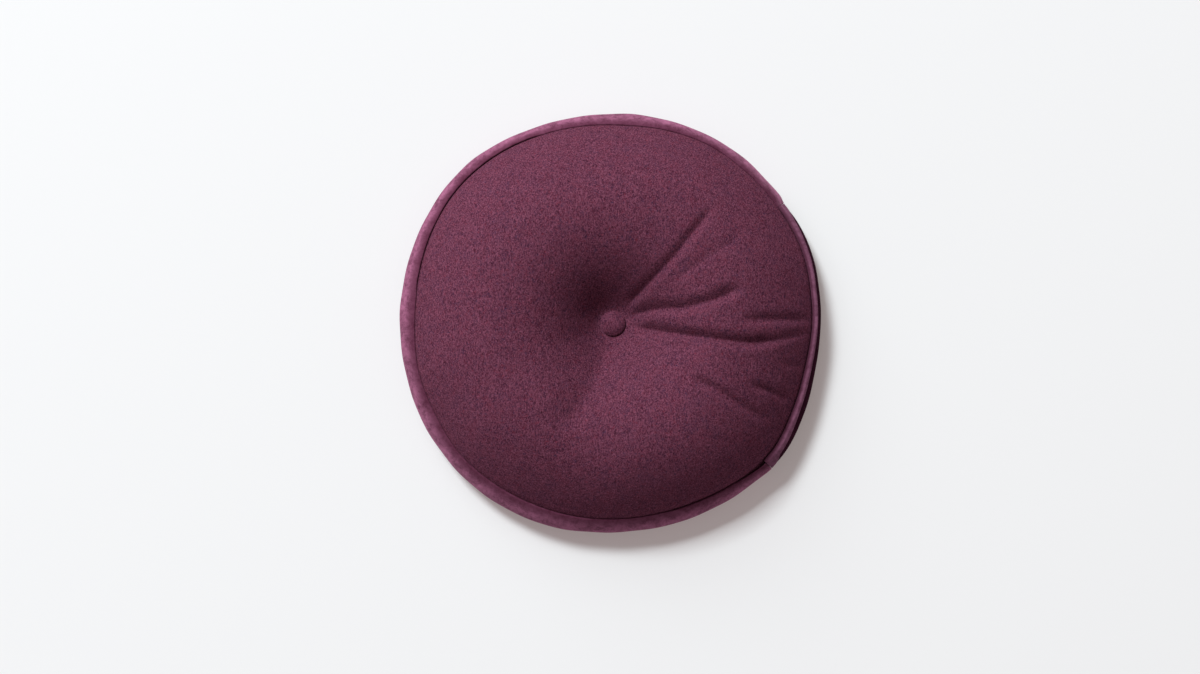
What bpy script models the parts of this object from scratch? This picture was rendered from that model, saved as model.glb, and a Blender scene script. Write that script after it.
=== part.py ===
"""A round box pillow of wool felt with a velvet side band and covered tufting buttons.

The pillow lies on its back panel on z = 0 and the front button faces +Z. Angles run
anticlockwise from +X, as seen from above. The side band is closed by a placket that
faces +X: a narrow folded flap over a lower strip, between the two ends of the band.
"""
import math
from collections import namedtuple

import bmesh
import bpy
import numpy as np
from mathutils import Vector

OBJECT_NAME = "round_throw_pillow"
MM = 0.001

# The pillow's section
TOP_SEAM_HEIGHT = 0.044
LOWER_SEAM_HEIGHT = 0.004
SEAM_WAVE = 0.0012
PLACKET_SAG = 0.005
SAG_MIDDLE = -4.0
SAG_FULL = 24.0
SAG_FADE = 28.0
RIM_POWER = 6.0
CROWN_RISE = 0.067
CROWN_POWER = 4.4
BULGE_SKEW = 1.25
BULGE_POWER = 0.6

# The tufted dimple in the front face, round the button's own centre
BUTTON_X = 0.0019
BUTTON_Y = -0.0014
DIMPLE_DEPTH = 0.063
DIMPLE_POWER = 1.35
SEAT_RADIUS = 0.0125

# The back panel, flat on the floor between its dimple and its rim
BACK_SEAT_HEIGHT = 0.0165
BACK_DIMPLE_RADIUS = 0.050
BACK_FLAT_RADIUS = 0.156
BACK_RIM_POWER = 2.2

# Cloth thicknesses and the gap between neighbouring pieces
VELVET = 0.0020
FELT = 0.0022
GAP = 0.0004
CORNER_INSET = 0.0032
CORNER_RISE = 0.0030

# The band's two ends and the placket between them
JOINT_LOW = -42.2
JOINT_HIGH = 34.4
JOINT_GAP = 0.06
FLAP_LIFT = VELVET + 2.0 * GAP
FLAP_ROOT = 0.075
STRIP_TOP = 0.090
LIP_LOW = 0.0009
LIP_HIGH = 0.0007
LIP_WIDTH = 3.5
DIP_LOW = 0.0008
DIP_HIGH = 0.0016
DIP_WIDTH_LOW = 1.4
DIP_WIDTH_HIGH = 3.6

# The covered buttons
BUTTON_RADIUS = 0.0118
BUTTON_DOME = 0.0058
BUTTON_EDGE = 0.0018
BUTTON_SECTORS = 24

# Steps of the surfaces
FINE_STEP = 2.1
COARSE_STEP = 7.5
FINE_FROM = -48.0
FINE_TO = 62.0
FACE_RADII = (0.0, 6.0, 12.5, 15.5, 20.0, 26.0, 34.0, 44.0, 56.0, 70.0, 86.0, 102.0,
              118.0, 134.0, 148.0, 160.0, 170.0, 178.0, 184.5)
SIDE_STEPS = (0.0, 0.025, 0.075, 0.15, 0.28, 0.44, 0.60, 0.76, 0.89, 0.965, 1.0)
FILLING_STEPS = (0.025, STRIP_TOP, 0.15, 0.44, 0.76, 0.965)
BACK_RADII = (0.0, 12.5, 18.0, 26.0, 38.0, 50.0, 156.0, 167.0, 177.0, 184.0)
FACE_SEAM_RADIUS = 189.4

RimRow = namedtuple("RimRow", "angle outline seam")
RIM = (
    RimRow(0, 202.4, 192.2),
    RimRow(8, 203.2, 192.8),
    RimRow(20, 204.7, 194.6),
    RimRow(34, 203.4, 193.2),
    RimRow(48, 202.8, 192.4),
    RimRow(62, 202.6, 192.3),
    RimRow(75, 201.5, 189.6),
    RimRow(86, 200.8, 187.3),
    RimRow(98, 199.4, 188.2),
    RimRow(112, 200.9, 189.9),
    RimRow(124, 203.4, 191.6),
    RimRow(138, 204.9, 192.3),
    RimRow(150, 203.8, 190.5),
    RimRow(165, 202.9, 186.9),
    RimRow(180, 202.4, 185.8),
    RimRow(195, 203.3, 188.4),
    RimRow(208, 204.4, 188.2),
    RimRow(221, 205.3, 190.5),
    RimRow(232, 205.8, 189.6),
    RimRow(247, 205.4, 188.1),
    RimRow(262, 203.2, 187.7),
    RimRow(279, 202.4, 187.3),
    RimRow(293, 203.9, 188.4),
    RimRow(303, 205.2, 191.2),
    RimRow(314, 207.7, 195.0),
    RimRow(323, 209.8, 195.7),
    RimRow(334, 206.2, 192.2),
    RimRow(348, 202.4, 190.0),
)

# How far the front dimple spreads from the button in each direction
DimpleRow = namedtuple("DimpleRow", "angle reach")
DIMPLE = (
    DimpleRow(0, 46.0),
    DimpleRow(60, 46.0),
    DimpleRow(100, 45.0),
    DimpleRow(125, 43.0),
    DimpleRow(148, 41.0),
    DimpleRow(170, 41.0),
    DimpleRow(195, 43.0),
    DimpleRow(225, 48.0),
    DimpleRow(258, 57.0),
    DimpleRow(282, 50.0),
    DimpleRow(300, 46.0),
    DimpleRow(330, 46.0),
)

# How far down the side the flap's folded edge lies, from 0 at the top seam to 1
FlapRow = namedtuple("FlapRow", "angle edge")
FLAP = (
    FlapRow(-42.2, 0.36),
    FlapRow(-39.8, 0.27),
    FlapRow(-38.0, 0.172),
    FlapRow(-24.0, 0.118),
    FlapRow(-12.0, 0.108),
    FlapRow(0.0, 0.092),
    FlapRow(11.0, 0.098),
    FlapRow(22.0, 0.103),
    FlapRow(29.0, 0.134),
    FlapRow(32.0, 0.215),
    FlapRow(34.4, 0.353),
)

# Each crease's depth, its gentle side's width (negative where that side is the clockwise one)
# and its path as pairs of a radius and an angle
CreaseRow = namedtuple("CreaseRow", "depth width path")
CREASES = (
    CreaseRow(4.8, 10, ((24, 47.0), (80, 46.0), (100, 47.0), (136, 48.0))),
    CreaseRow(6.4, 12, ((22, 19.0), (40, 17.5), (56, 13.2), (70, 11.0), (98, 12.0), (120, 14.2))),
    CreaseRow(7.4, 11, ((28, -11.0), (56, -10.2), (84, -9.6), (126, -9.2), (148, -7.2))),
    CreaseRow(4.0, 9, ((146, -7.5), (160, -5.8), (184, -3.4))),
    CreaseRow(5.0, 10, ((128, 0.8), (186, 0.6))),
    CreaseRow(4.2, 8, ((146, -24.0), (182, -23.6))),
    CreaseRow(4.2, 9, ((94, -34.5), (112, -33.0), (170, -32.6))),
    CreaseRow(1.8, 12, ((75, 33.5), (145, 33.5))),
    CreaseRow(1.8, 8, ((166, -14.0), (186, -13.5))),
    CreaseRow(4.2, 18, ((30, -27.0), (84, -15.5))),
    CreaseRow(4.0, -28, ((22, -99.0), (42, -105.0), (70, -109.0), (104, -113.0))),
    CreaseRow(2.6, -15, ((26, -130.0), (66, -133.0))),
    CreaseRow(2.0, -12, ((26, -154.0), (56, -156.0))),
)
CREASE_STEEP_SHARE = 0.66
CREASE_ROUNDING = 0.15
CREASE_END = 22.0

FinishRow = namedtuple("FinishRow", "color roughness")
FELT_FINISH = FinishRow((0.115, 0.033, 0.060), 0.95)
VELVET_FINISH = FinishRow((0.165, 0.056, 0.100), 0.80)


def ease(x):
    """Smooth step from 0 at x = 0 to 1 at x = 1."""
    x = np.clip(x, 0.0, 1.0)
    return x * x * (3.0 - 2.0 * x)


def around(rows, column, angle):
    """Smooth closed curve through one column of a table, read at angles in degrees."""
    knots = np.array([row.angle for row in rows], float)
    values = np.array([getattr(row, column) for row in rows], float)
    knots = np.concatenate((knots[-2:] - 360.0, knots, knots[:2] + 360.0))
    values = np.concatenate((values[-2:], values, values[:2]))
    slopes = (values[2:] - values[:-2]) / (knots[2:] - knots[:-2])
    angle = np.mod(angle, 360.0)
    row = np.clip(np.searchsorted(knots, angle, side="right") - 1, 1, len(knots) - 3)
    span = knots[row + 1] - knots[row]
    u = (angle - knots[row]) / span
    start = (1.0 + 2.0 * u) * (1.0 - u) ** 2 * values[row]
    end = u * u * (3.0 - 2.0 * u) * values[row + 1]
    leave = u * (1.0 - u) ** 2 * span * slopes[row - 1]
    arrive = u * u * (u - 1.0) * span * slopes[row]
    return start + end + leave + arrive


def outline_radius(angle):
    """Radius of the pillow's widest line."""
    return around(RIM, "outline", angle) * MM


def seam_radius(angle):
    """Radius of both seams."""
    return around(RIM, "seam", angle) * MM


def seam_height(angle):
    """Height of the top seam, which waves a little and sags over the placket."""
    turn = np.radians(angle)
    wave = SEAM_WAVE * np.sin(2.0 * turn + 0.6) * np.cos(turn - 0.4)
    away = np.abs(np.mod(angle - SAG_MIDDLE + 180.0, 360.0) - 180.0)
    sag = PLACKET_SAG * (1.0 - ease((away - SAG_FULL) / SAG_FADE))
    return TOP_SEAM_HEIGHT + wave - sag


def from_joint(angle):
    """Angles past each end of the band, positive on the placket's side."""
    folded = np.mod(angle + 180.0, 360.0) - 180.0
    return folded - JOINT_LOW, JOINT_HIGH - folded


def on_placket(angle):
    """True where an angle lies between the band's two ends."""
    past_low, past_high = from_joint(angle)
    return (past_low > 0.0) & (past_high > 0.0)


def side_curve(angle, t):
    """Radius and height of the side, from the top seam at t = 0 to the lower at t = 1."""
    bulge = np.sin(np.pi * np.clip(t, 0.0, 1.0) ** BULGE_SKEW) ** BULGE_POWER
    seam = seam_radius(angle)
    top = seam_height(angle)
    radius = seam + (outline_radius(angle) - seam) * bulge
    height = top + (LOWER_SEAM_HEIGHT - top) * t
    return radius, height


def side_normal(angle, t):
    """Outward direction of the side in its own upright section."""
    step = 0.01
    middle = np.clip(t, 1.3 * step, 1.0 - 1.3 * step)
    r_up, z_up = side_curve(angle, middle - step)
    r_down, z_down = side_curve(angle, middle + step)
    length = np.hypot(r_down - r_up, z_down - z_up)
    return (z_up - z_down) / length, (r_down - r_up) / length


def inside_seams(t):
    """0 at both seams and 1 on the side between them."""
    margin = 0.12
    return ease(t / margin) * ease((1.0 - t) / margin)


def placket_dip(angle, t):
    """How far the side draws in where the placket meets the band's ends."""
    past_low, past_high = from_joint(angle)
    low = DIP_LOW * np.exp(-((past_low / DIP_WIDTH_LOW) ** 2))
    high = DIP_HIGH * np.exp(-((past_high / DIP_WIDTH_HIGH) ** 2))
    return np.where(on_placket(angle), low + high, 0.0) * inside_seams(t)


def band_lip(angle, t):
    """How far the band's ends stand out beside the placket."""
    past_low, past_high = from_joint(angle)
    low = LIP_LOW * np.exp(-((past_low / LIP_WIDTH) ** 2))
    high = LIP_HIGH * np.exp(-((past_high / LIP_WIDTH) ** 2))
    return (low + high) * inside_seams(t)


def side_surface(angle, t, offset):
    """Points at a distance from the side along its outward direction."""
    radius, height = side_curve(angle, t)
    out, up = side_normal(angle, t)
    offset = offset - placket_dip(angle, t)
    return polar(angle, radius + out * offset, height + up * offset)


def polar(angle, radius, height):
    """Points from an angle in degrees, a radius and a height."""
    turn = np.radians(angle)
    return np.stack((radius * np.cos(turn), radius * np.sin(turn), height), axis=-1)


def crease_section(across, width):
    """Share of a crease's depth across it, with a gentle side and a steep side."""
    gentle = across * math.copysign(1.0, width) > 0.0
    rounding = CREASE_ROUNDING * abs(width)
    width = np.where(gentle, 1.0, CREASE_STEEP_SHARE) * abs(width)
    away = np.hypot(across, rounding) - rounding
    return np.clip(1.0 - away / width, 0.0, 1.0) ** 2


def creases(radius, angle):
    """Depth of all the creases at points of the face, in metres."""
    total = np.zeros_like(radius)
    radius = radius / MM
    folded = np.mod(angle + 180.0, 360.0) - 180.0
    for crease in CREASES:
        radii = [point[0] for point in crease.path]
        angles = [point[1] for point in crease.path]
        middle = np.interp(radius, radii, angles)
        across = radius * np.radians(folded - middle)
        start = ease((radius - radii[0] + 0.5 * CREASE_END) / CREASE_END)
        end = ease((radii[-1] + 0.5 * CREASE_END - radius) / CREASE_END)
        total = total + crease.depth * start * end * crease_section(across, crease.width)
    return total * MM


def face_point(angle, share):
    """Points of the front face, from its centre at share = 0 to the seam at share = 1."""
    radius = share * seam_radius(angle)
    drift = (1.0 - share) ** 2
    height = TOP_SEAM_HEIGHT + (seam_height(angle) - TOP_SEAM_HEIGHT) * share ** RIM_POWER
    points = polar(angle, radius, height)
    points[..., 0] += BUTTON_X * drift
    points[..., 1] += BUTTON_Y * drift
    from_button = np.hypot(points[..., 0] - BUTTON_X, points[..., 1] - BUTTON_Y)
    past_seat = np.maximum(from_button - SEAT_RADIUS, 0.0) / (around(DIMPLE, "reach", angle) * MM)
    dimple = np.exp(-past_seat ** DIMPLE_POWER)
    points[..., 2] += CROWN_RISE * (1.0 - share ** CROWN_POWER)
    points[..., 2] -= DIMPLE_DEPTH * dimple + creases(radius, angle)
    return points


def face_edge(angle, inset):
    """Edge of the front face beside the band's top edge, the second ring further in."""
    radius, height = side_curve(angle, np.zeros_like(angle))
    out, up = side_normal(angle, np.zeros_like(angle))
    radius = radius - out * inset - up * GAP
    height = height - up * inset + out * GAP
    return polar(angle, radius, height)


def back_curve(radius):
    """Height of the back panel's outer face, where its seam is a circle."""
    past_flat = (radius - BACK_FLAT_RADIUS) / (FACE_SEAM_RADIUS * MM - BACK_FLAT_RADIUS)
    past_seat = (radius - SEAT_RADIUS) / (BACK_DIMPLE_RADIUS - SEAT_RADIUS)
    rim = LOWER_SEAM_HEIGHT * np.maximum(past_flat, 0.0) ** BACK_RIM_POWER
    return rim + BACK_SEAT_HEIGHT * (1.0 - ease(past_seat))


def back_point(angle, radius, lift):
    """Points over the back panel's outer face, drawn out to fit the seam's own radius."""
    step = 0.5 * MM
    share = seam_radius(angle) / (FACE_SEAM_RADIUS * MM)
    slope = (back_curve(radius + step) - back_curve(radius - step)) / (2.0 * step * share)
    length = np.sqrt(1.0 + slope * slope)
    height = back_curve(radius) + lift / length
    return polar(angle, radius * share - lift * slope / length, height)


def stations():
    """Angles of the surfaces' columns, close together where the front face is creased."""
    fine = np.arange(FINE_FROM, FINE_TO, FINE_STEP)
    rest = 360.0 - FINE_TO + FINE_FROM
    coarse = np.linspace(FINE_TO, FINE_TO + rest, round(rest / COARSE_STEP) + 1)
    angles = np.concatenate((fine, coarse[:-1]))
    ends = []
    for joint in (JOINT_LOW, JOINT_HIGH):
        angles = angles[np.abs(angles - joint) > 0.4 * FINE_STEP]
        ends += [joint - JOINT_GAP, joint + JOINT_GAP]
    return np.sort(np.concatenate((angles, ends)))


def span(low, high):
    """Angles of the columns from one angle to another, both included."""
    angles = np.concatenate((stations(), stations() + 360.0))
    tolerance = 0.5 * JOINT_GAP
    return angles[(angles > low - tolerance) & (angles < high + tolerance)]


def sheet_mesh(name, points, closed):
    """Mesh of a grid of points, its columns joined round into a ring when it is closed."""
    rows, columns = points.shape[0], points.shape[1]
    if closed:
        points = np.concatenate((points, points[:, :1]), axis=1)
        columns += 1
    mesh = bpy.data.meshes.new(name)
    grid = bmesh.new()
    bmesh.ops.create_grid(grid, x_segments=columns - 1, y_segments=rows - 1, size=1.0)
    for vert in grid.verts:
        column = round((vert.co.x + 1.0) / 2.0 * (columns - 1))
        row = round((1.0 - vert.co.y) / 2.0 * (rows - 1))
        vert.co = points[row, column]
    bmesh.ops.remove_doubles(grid, verts=grid.verts, dist=1e-6)
    bmesh.ops.recalc_face_normals(grid, faces=grid.faces)
    grid.to_mesh(mesh)
    grid.free()
    return mesh


def make_material(name, finish):
    """Cloth material with one colour and roughness."""
    material = bpy.data.materials.new(name)
    material.use_nodes = True
    shader = material.node_tree.nodes["Principled BSDF"]
    shader.inputs["Base Color"].default_value = (*finish.color, 1.0)
    shader.inputs["Roughness"].default_value = finish.roughness
    shader.inputs["Metallic"].default_value = 0.0
    return material


def add_piece(name, mesh, material, collection, parent):
    """Object for one piece, smooth but for its sharp edges."""
    mesh.materials.append(material)
    mesh.shade_smooth()
    mesh.set_sharp_from_angle(angle=math.radians(50.0))
    piece = bpy.data.objects.new(name, mesh)
    collection.objects.link(piece)
    piece.parent = parent
    return piece


def thicken(piece, thickness):
    """Give a sheet its thickness, on the inner side of its outward face."""
    solidify = piece.modifiers.new("Cloth", "SOLIDIFY")
    solidify.thickness = thickness
    solidify.offset = -1.0


def face_outward(mesh, middle):
    """Turn an open sheet over where its faces look towards the pillow's middle."""
    face = mesh.polygons[0]
    if face.normal.dot(face.center - middle) < 0.0:
        mesh.flip_normals()


def front_panel_mesh():
    """The front face and the filling behind it, one closed body inside the other pieces."""
    angle = stations()
    blank = np.ones_like(angle)
    rings = [face_point(angle, blank * radius / FACE_SEAM_RADIUS) for radius in FACE_RADII]
    rings.append(face_edge(angle, 0.0))
    rings.append(face_edge(angle, VELVET + GAP))
    rings += [side_surface(angle, blank * t, -VELVET - 2.0 * GAP) for t in FILLING_STEPS]
    low_radius, low_height = side_curve(angle, blank)
    rings.append(polar(angle, low_radius - CORNER_INSET, low_height + CORNER_RISE))
    for radius in reversed(BACK_RADII[:-1]):
        rings.append(back_point(angle, blank * radius * MM, FELT + GAP))
    return sheet_mesh("front_panel", np.array(rings), closed=True)


def back_panel_mesh():
    """Outer face of the back panel, up to the lower seam."""
    angle = stations()
    blank = np.ones_like(angle)
    rings = [back_point(angle, blank * radius * MM, 0.0) for radius in BACK_RADII]
    rings.append(back_point(angle, blank * (FACE_SEAM_RADIUS * MM - 2.0 * GAP), 0.0))
    return sheet_mesh("back_panel", np.array(rings), closed=True)


def main_band_mesh():
    """Outer face of the side band, from one joint round to the other."""
    angle = span(JOINT_HIGH + JOINT_GAP, JOINT_LOW - JOINT_GAP + 360.0)
    rows = [side_surface(angle, np.full_like(angle, t), band_lip(angle, t)) for t in SIDE_STEPS]
    return sheet_mesh("main_band", np.array(rows), closed=False)


def placket_flap_mesh():
    """Outer face of the flap, which leaves the top seam and lifts over the lower strip."""
    angle = span(JOINT_LOW + JOINT_GAP, JOINT_HIGH - JOINT_GAP)
    edge = np.interp(angle, [row.angle for row in FLAP], [row.edge for row in FLAP])
    rows = []
    for share in (0.0, 0.12, 0.28, 0.48, 0.74, 1.0):
        t = share * edge
        rows.append(side_surface(angle, t, FLAP_LIFT * ease(t / FLAP_ROOT)))
    return sheet_mesh("placket_flap", np.array(rows), closed=False)


def placket_lower_mesh():
    """Outer face of the lower strip, from under the flap to the lower seam."""
    angle = span(JOINT_LOW + JOINT_GAP, JOINT_HIGH - JOINT_GAP)
    steps = (STRIP_TOP,) + tuple(t for t in SIDE_STEPS if t > STRIP_TOP)
    rows = [side_surface(angle, np.full_like(angle, t), 0.0) for t in steps]
    return sheet_mesh("placket_lower", np.array(rows), closed=False)


def button_mesh(name):
    """Turned button with a domed top and a flat back, its back on z = 0."""
    heights = [BUTTON_DOME, 0.93 * BUTTON_DOME, 0.74 * BUTTON_DOME, BUTTON_EDGE, 0.3 * BUTTON_EDGE]
    radii = [0.0, 0.40, 0.76, 1.0, 0.94]
    angle = np.linspace(0.0, 360.0, BUTTON_SECTORS, endpoint=False)
    blank = np.ones_like(angle)
    rings = [polar(angle, blank * r * BUTTON_RADIUS, blank * z) for r, z in zip(radii, heights)]
    rings.append(polar(angle, blank * 0.84 * BUTTON_RADIUS, blank * 0.0))
    rings.append(polar(angle, blank * 0.0, blank * 0.0))
    return sheet_mesh(name, np.array(rings), closed=True)


def build():
    """Clear the scene and build the pillow's pieces."""
    for item in list(bpy.data.objects):
        bpy.data.objects.remove(item)
    collection = bpy.data.collections.new(OBJECT_NAME)
    bpy.context.scene.collection.children.link(collection)
    root = bpy.data.objects.new(OBJECT_NAME, None)
    collection.objects.link(root)
    felt = make_material("wool_felt", FELT_FINISH)
    velvet = make_material("velvet", VELVET_FINISH)

    add_piece("front_panel", front_panel_mesh(), felt, collection, root)

    sheets = (
        (back_panel_mesh(), felt, FELT),
        (main_band_mesh(), velvet, VELVET),
        (placket_flap_mesh(), velvet, VELVET),
        (placket_lower_mesh(), velvet, VELVET),
    )
    middle = Vector((0.0, 0.0, 0.5 * TOP_SEAM_HEIGHT))
    for mesh, cloth, thickness in sheets:
        face_outward(mesh, middle)
        thicken(add_piece(mesh.name, mesh, cloth, collection, root), thickness)

    front_button = add_piece("front_button", button_mesh("front_button"), felt, collection, root)
    seat = TOP_SEAM_HEIGHT + CROWN_RISE - DIMPLE_DEPTH
    front_button.location = (BUTTON_X, BUTTON_Y, seat + GAP)

    back_button = add_piece("back_button", button_mesh("back_button"), felt, collection, root)
    back_button.location = (0.0, 0.0, BACK_SEAT_HEIGHT - GAP)
    back_button.rotation_euler = (math.pi, 0.0, 0.0)


build()
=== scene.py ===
"""Looks of a round box pillow: heathered wool felt faces, a velvet side band and tufted buttons.

Lengths are in metres unless a name ends in _mm, and angles are in degrees, anticlockwise
from +X as seen from above. The pillow lies on z = 0 with its front button facing +Z.
"""
import logging
import math
from dataclasses import dataclass
from enum import Enum
from typing import Any, NamedTuple, Sequence, Union

import bmesh
import bpy
import numpy as np
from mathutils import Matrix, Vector


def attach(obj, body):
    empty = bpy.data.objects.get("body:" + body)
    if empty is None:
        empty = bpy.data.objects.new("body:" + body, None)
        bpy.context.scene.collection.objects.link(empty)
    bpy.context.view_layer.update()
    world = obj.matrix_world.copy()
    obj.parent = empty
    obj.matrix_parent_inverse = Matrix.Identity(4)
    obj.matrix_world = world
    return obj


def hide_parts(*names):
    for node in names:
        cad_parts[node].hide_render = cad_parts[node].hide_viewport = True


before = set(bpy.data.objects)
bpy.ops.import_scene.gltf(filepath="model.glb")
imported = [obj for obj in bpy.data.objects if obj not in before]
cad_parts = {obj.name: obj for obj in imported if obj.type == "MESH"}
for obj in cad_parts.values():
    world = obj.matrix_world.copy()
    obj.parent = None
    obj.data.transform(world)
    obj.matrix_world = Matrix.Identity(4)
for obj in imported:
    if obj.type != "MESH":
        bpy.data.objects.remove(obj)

Array = np.ndarray
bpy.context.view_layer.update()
MM = 0.001
# Name of the velvet's point attribute that says how much painted shade its colour takes: 0 at a seam, where
# the shade is painted darkest, 1 away from it.
SEAM_SHADE_ATTRIBUTE = "pile"
log = logging.getLogger("pillow")


class RimRow(NamedTuple):
    """One direction's outline and seam radius, in millimetres."""

    angle: float
    outline: float
    seam: float


class DimpleRow(NamedTuple):
    """How far the dimple spreads from the button in one direction, in millimetres."""

    angle: float
    reach: float


class EdgeRow(NamedTuple):
    """How far down the side the flap's fold lies in one direction, from 0 to 1."""

    angle: float
    edge: float


class CreaseRow(NamedTuple):
    """One crease: its depth and its gentle side's width in millimetres, the width negative
    where that side is the clockwise one, and its path as pairs of radius and angle."""

    depth: float
    width: float
    path: tuple[tuple[float, float], ...]


class SectorRow(NamedTuple):
    """A stretch of the rim, fading out at both ends, and how strongly something shows there."""

    start: float
    stop: float
    strength: float


RIM = (
    RimRow(0, 202.4, 192.2),
    RimRow(8, 203.2, 192.8),
    RimRow(20, 204.7, 194.6),
    RimRow(34, 203.4, 193.2),
    RimRow(48, 202.8, 192.4),
    RimRow(62, 202.6, 192.3),
    RimRow(75, 201.5, 189.6),
    RimRow(86, 200.8, 187.3),
    RimRow(98, 199.4, 188.2),
    RimRow(112, 200.9, 189.9),
    RimRow(124, 203.4, 191.6),
    RimRow(138, 204.9, 192.3),
    RimRow(150, 203.8, 190.5),
    RimRow(165, 202.9, 186.9),
    RimRow(180, 202.4, 185.8),
    RimRow(195, 203.3, 188.4),
    RimRow(208, 204.4, 188.2),
    RimRow(221, 205.3, 190.5),
    RimRow(232, 205.8, 189.6),
    RimRow(247, 205.4, 188.1),
    RimRow(262, 203.2, 187.7),
    RimRow(279, 202.4, 187.3),
    RimRow(293, 203.9, 188.4),
    RimRow(303, 205.2, 191.2),
    RimRow(314, 207.7, 195.0),
    RimRow(323, 209.8, 195.7),
    RimRow(334, 206.2, 192.2),
    RimRow(348, 202.4, 190.0),
)

DIMPLE = (
    DimpleRow(0, 46.0),
    DimpleRow(60, 46.0),
    DimpleRow(100, 45.0),
    DimpleRow(125, 43.0),
    DimpleRow(148, 41.0),
    DimpleRow(170, 41.0),
    DimpleRow(195, 43.0),
    DimpleRow(225, 48.0),
    DimpleRow(258, 57.0),
    DimpleRow(282, 50.0),
    DimpleRow(300, 46.0),
    DimpleRow(330, 46.0),
)

FLAP_EDGE = (
    EdgeRow(-42.2, 0.36),
    EdgeRow(-39.8, 0.27),
    EdgeRow(-38.0, 0.172),
    EdgeRow(-24.0, 0.118),
    EdgeRow(-12.0, 0.108),
    EdgeRow(0.0, 0.092),
    EdgeRow(11.0, 0.098),
    EdgeRow(22.0, 0.103),
    EdgeRow(29.0, 0.134),
    EdgeRow(32.0, 0.215),
    EdgeRow(34.4, 0.353),
)

CREASES = (
    CreaseRow(4.8, 10, ((24, 47.0), (80, 46.0), (100, 47.0), (136, 48.0))),
    CreaseRow(6.4, 12, ((22, 19.0), (40, 17.5), (56, 13.2), (70, 11.0), (98, 12.0), (120, 14.2))),
    CreaseRow(7.4, 11, ((28, -11.0), (56, -10.2), (84, -9.6), (126, -9.2), (148, -7.2))),
    CreaseRow(4.0, 9, ((146, -7.5), (160, -5.8), (184, -3.4))),
    CreaseRow(5.0, 10, ((128, 0.8), (186, 0.6))),
    CreaseRow(4.2, 8, ((146, -24.0), (182, -23.6))),
    CreaseRow(4.2, 9, ((94, -34.5), (112, -33.0), (170, -32.6))),
    CreaseRow(1.8, 12, ((75, 33.5), (145, 33.5))),
    CreaseRow(1.8, 8, ((166, -14.0), (186, -13.5))),
    CreaseRow(4.2, 18, ((30, -27.0), (84, -15.5))),
    CreaseRow(4.0, -28, ((22, -99.0), (42, -105.0), (70, -109.0), (104, -113.0))),
    CreaseRow(1.6, -20, ((26, -130.0), (66, -133.0))),
    CreaseRow(1.0, -16, ((26, -154.0), (56, -156.0))),
)

DEEP_SEAM = (SectorRow(114, 146, 1.0), SectorRow(152, 168, 0.8), SectorRow(305, 316, 0.5),
             SectorRow(289, 301, 0.6))
DEEP_FADE = 5.0
RAISED_SEAM = (SectorRow(22, 52, 1.0), SectorRow(228, 294, 1.0), SectorRow(60, 90, 0.4))


def ease(x: Array) -> Array:
    """Smooth step from 0 at x = 0 to 1 at x = 1."""
    x = np.clip(x, 0.0, 1.0)
    return x * x * (3.0 - 2.0 * x)


def folded(angle: Array) -> Array:
    """The same angles between -180 and 180."""
    return np.mod(angle + 180.0, 360.0) - 180.0


def around(rows: Sequence[Any], column: str, angle: Array) -> Array:
    """Closed cubic curve through one column of a table, its slope at each row being the
    slope of the line between that row's two neighbours.

    Args:
        rows: the table, in the order of its angles.
        column: the column's name.
        angle: where the curve is read.

    Returns:
        The curve's value at each angle.
    """
    knots = np.array([row.angle for row in rows], float)
    values = np.array([getattr(row, column) for row in rows], float)
    knots = np.concatenate((knots[-2:] - 360.0, knots, knots[:2] + 360.0))
    values = np.concatenate((values[-2:], values, values[:2]))
    slopes = (values[2:] - values[:-2]) / (knots[2:] - knots[:-2])
    angle = np.mod(angle, 360.0)
    row = np.clip(np.searchsorted(knots, angle, side="right") - 1, 1, len(knots) - 3)
    span = knots[row + 1] - knots[row]
    u = (angle - knots[row]) / span
    start = (1.0 + 2.0 * u) * (1.0 - u) ** 2 * values[row]
    end = u * u * (3.0 - 2.0 * u) * values[row + 1]
    leave = u * (1.0 - u) ** 2 * span * slopes[row - 1]
    arrive = u * u * (u - 1.0) * span * slopes[row]
    return start + end + leave + arrive


def sectors(rows: Sequence[SectorRow], angle: Array, fade: float) -> Array:
    """Sum of the sectors' strengths round the rim.

    Args:
        rows: the sectors.
        angle: where the sum is read.
        fade: over how many degrees a sector fades at each end.

    Returns:
        The sum at each angle.
    """
    total = np.zeros_like(angle, float)
    for row in rows:
        middle = 0.5 * (row.start + row.stop)
        away = np.abs(folded(angle - middle))
        total = total + row.strength * (1.0 - ease((away - 0.5 * (row.stop - row.start)) / fade))
    return total


def ripple(angle: Array, waves: Sequence[int], seed: int) -> Array:
    """Uneven wave round the rim: a sum of sines with seeded heights and phases.

    Args:
        angle: where the wave is read.
        waves: how many times each sine runs round the rim.
        seed: seed of the heights and phases.

    Returns:
        The wave at each angle, between about -1 and 1.
    """
    random = np.random.default_rng(seed)
    turn = np.radians(angle)
    total = np.zeros_like(turn)
    for count in waves:
        total = total + random.uniform(0.5, 1.0) * np.sin(count * turn + random.uniform(0.0, 6.28))
    return total / math.sqrt(len(waves))


def polar(angle: Array, radius: Array, height: Array) -> Array:
    """Points from an angle, a radius and a height, stacked along a new last axis."""
    turn = np.radians(angle)
    return np.stack((radius * np.cos(turn), radius * np.sin(turn), height + 0.0 * turn), axis=-1)


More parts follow.
